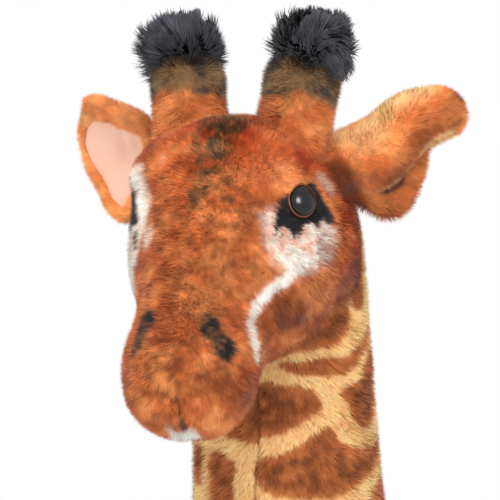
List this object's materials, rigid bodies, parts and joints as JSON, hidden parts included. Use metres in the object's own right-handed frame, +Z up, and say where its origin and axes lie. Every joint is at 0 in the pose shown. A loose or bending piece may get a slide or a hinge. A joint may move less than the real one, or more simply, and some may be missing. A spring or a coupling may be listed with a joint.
{
  "type": "plush giraffe",
  "caption": "Large standing stuffed giraffe with a steel rod inside, tufted horns, lined ears that flap and a hanging tail.",
  "frame": {"origin": "on the floor, under the middle of the whole toy", "axes": "+Z up, -Y the way the giraffe faces, +X its left side"},
  "size_m": [0.357, 0.6548, 1.2512],
  "materials": {
    "coat_plush": "short orange-brown pile, mottled darker",
    "spotted_plush": "short pile, brown patches on cream net lines",
    "mane_plush": "long brown pile",
    "black_plush": "long spiky black pile",
    "hoof_plush": "short dark brown pile",
    "sole_cloth": "flat dark cloth over board",
    "lining_felt": "smooth pale pink felt",
    "filling": "white polyester fibre",
    "steel": "plain bent rod",
    "eye_plastic": "polished black with a dark brown rim",
    "washer_plastic": "natural moulded"
  },
  "bodies": {
    "giraffe": {"body_skin": "spotted_plush", "body_filling": "filling", "neck_skin": "spotted_plush", "neck_filling": "filling", "head_skin": "coat_plush", "head_filling": "filling", "mane": "mane_plush", "spine_rod": "steel", "front_leg_rod": "steel", "rear_leg_rod": "steel", "leg_skin_front_left": "spotted_plush", "leg_filling_front_left": "filling", "hoof_front_left": "hoof_plush", "sole_front_left": "sole_cloth", "leg_skin_front_right": "spotted_plush", "leg_filling_front_right": "filling", "hoof_front_right": "hoof_plush", "sole_front_right": "sole_cloth", "leg_skin_rear_left": "spotted_plush", "leg_filling_rear_left": "filling", "hoof_rear_left": "hoof_plush", "sole_rear_left": "sole_cloth", "leg_skin_rear_right": "spotted_plush", "leg_filling_rear_right": "filling", "hoof_rear_right": "hoof_plush", "sole_rear_right": "sole_cloth", "ossicone_left": "coat_plush", "ossicone_tuft_left": "black_plush", "eye_left": "eye_plastic", "eye_washer_left": "washer_plastic", "ossicone_right": "coat_plush", "ossicone_tuft_right": "black_plush", "eye_right": "eye_plastic", "eye_washer_right": "washer_plastic"},
    "ear_left": {"ear_left": "coat_plush", "ear_lining_left": "lining_felt"},
    "ear_right": {"ear_right": "coat_plush", "ear_lining_right": "lining_felt"},
    "tail": {"tail_cord": "spotted_plush", "tail_tuft": "black_plush"}
  },
  "joints": [
    {"name": "ear_left_flap", "type": "hinge", "parent": "giraffe", "child": "ear_left", "pos_m": [0.07315, -0.16517, 1.11793], "axis": [-0.367, -0.157, 0.9169], "range_deg": [-20, 15], "stiffness_Nm_per_rad": 0.35},
    {"name": "ear_right_flap", "type": "hinge", "parent": "giraffe", "child": "ear_right", "pos_m": [-0.07149, -0.16517, 1.11793], "axis": [-0.2749, 0.095, -0.9568], "range_deg": [-20, 15], "stiffness_Nm_per_rad": 0.35},
    {"name": "tail_swing", "type": "hinge", "parent": "giraffe", "child": "tail", "pos_m": [0.00083, 0.26039, 0.628], "axis": [1, 0, 0], "range_deg": [0, 60]}
  ]
}
